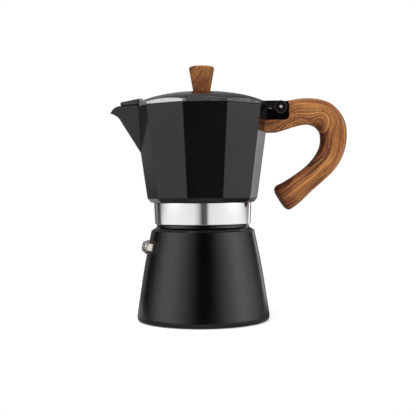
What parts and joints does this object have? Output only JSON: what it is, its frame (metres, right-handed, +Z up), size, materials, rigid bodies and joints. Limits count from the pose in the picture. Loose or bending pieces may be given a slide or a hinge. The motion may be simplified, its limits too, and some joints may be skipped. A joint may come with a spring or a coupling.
{
  "type": "moka pot",
  "caption": "Stovetop moka pot: round tapered boiler with safety valve, coffee funnel, faceted screw-on collector with hinged lid, spout and hooked handle.",
  "frame": {"origin": "centre of the boiler's underside, on the pot's axis", "axes": "+Z up along the pot's axis, -X towards the spout, +X towards the handle, -Y towards the side that shows the spout on the left"},
  "size_m": [0.1805, 0.101, 0.1926],
  "materials": {
    "black_paint": "satin black paint on cast aluminium",
    "dark_fibre": "matte",
    "nickel_brass": "nickel plated",
    "steel": "bright",
    "red_silicone": "matte",
    "aluminium": "spun, satin",
    "white_silicone": "matte",
    "polished_aluminium": "polished",
    "wood_grain": "satin plastic with a wood-grain film",
    "brass": "machined"
  },
  "bodies": {
    "boiler": {"boiler": "black_paint", "valve_washer": "dark_fibre", "valve_body": "nickel_brass", "valve_retainer": "nickel_brass", "valve_spring": "steel"},
    "plunger": {"valve_plunger": "steel", "valve_seal": "red_silicone"},
    "funnel": {"funnel": "aluminium", "funnel_disc": "aluminium"},
    "seal": {"gasket": "white_silicone", "filter_plate": "aluminium"},
    "collector": {"threaded_collar": "polished_aluminium", "collector": "black_paint", "hinge_pin": "steel", "handle": "wood_grain", "handle_screw": "steel", "handle_washer": "steel"},
    "lid": {"lid": "black_paint", "knob": "wood_grain", "knob_insert": "brass", "knob_screw": "steel"}
  },
  "joints": [
    {"name": "valve_slide", "type": "slide", "parent": "boiler", "child": "plunger", "axis": [-0.9227, -0.3358, 0.1892], "range_m": [0, 0.0015], "stiffness_N_per_m": 400, "springref_m": -0.002, "deforming": ["valve_spring"]},
    {"name": "funnel_lift", "type": "slide", "parent": "boiler", "child": "funnel", "axis": [0, 0, 1], "range_m": [0, 0.08]},
    {"name": "collector_rise", "type": "slide", "parent": "funnel", "child": "seal", "axis": [0, 0, 1], "range_m": [0, 0.0121]},
    {"name": "collector_twist", "type": "hinge", "parent": "seal", "child": "collector", "pos_m": [0, 0, 0.0893], "axis": [0, 0, 1], "range_deg": [0, 1080]},
    {"name": "lid_hinge", "type": "hinge", "parent": "collector", "child": "lid", "pos_m": [0.0594, 0, 0.1614], "axis": [0, 1, 0], "range_deg": [0, 100]}
  ],
  "couplings": [
    {"joint": "collector_rise", "follows": "collector_twist", "m_per_rad": 0.00063662}
  ]
}
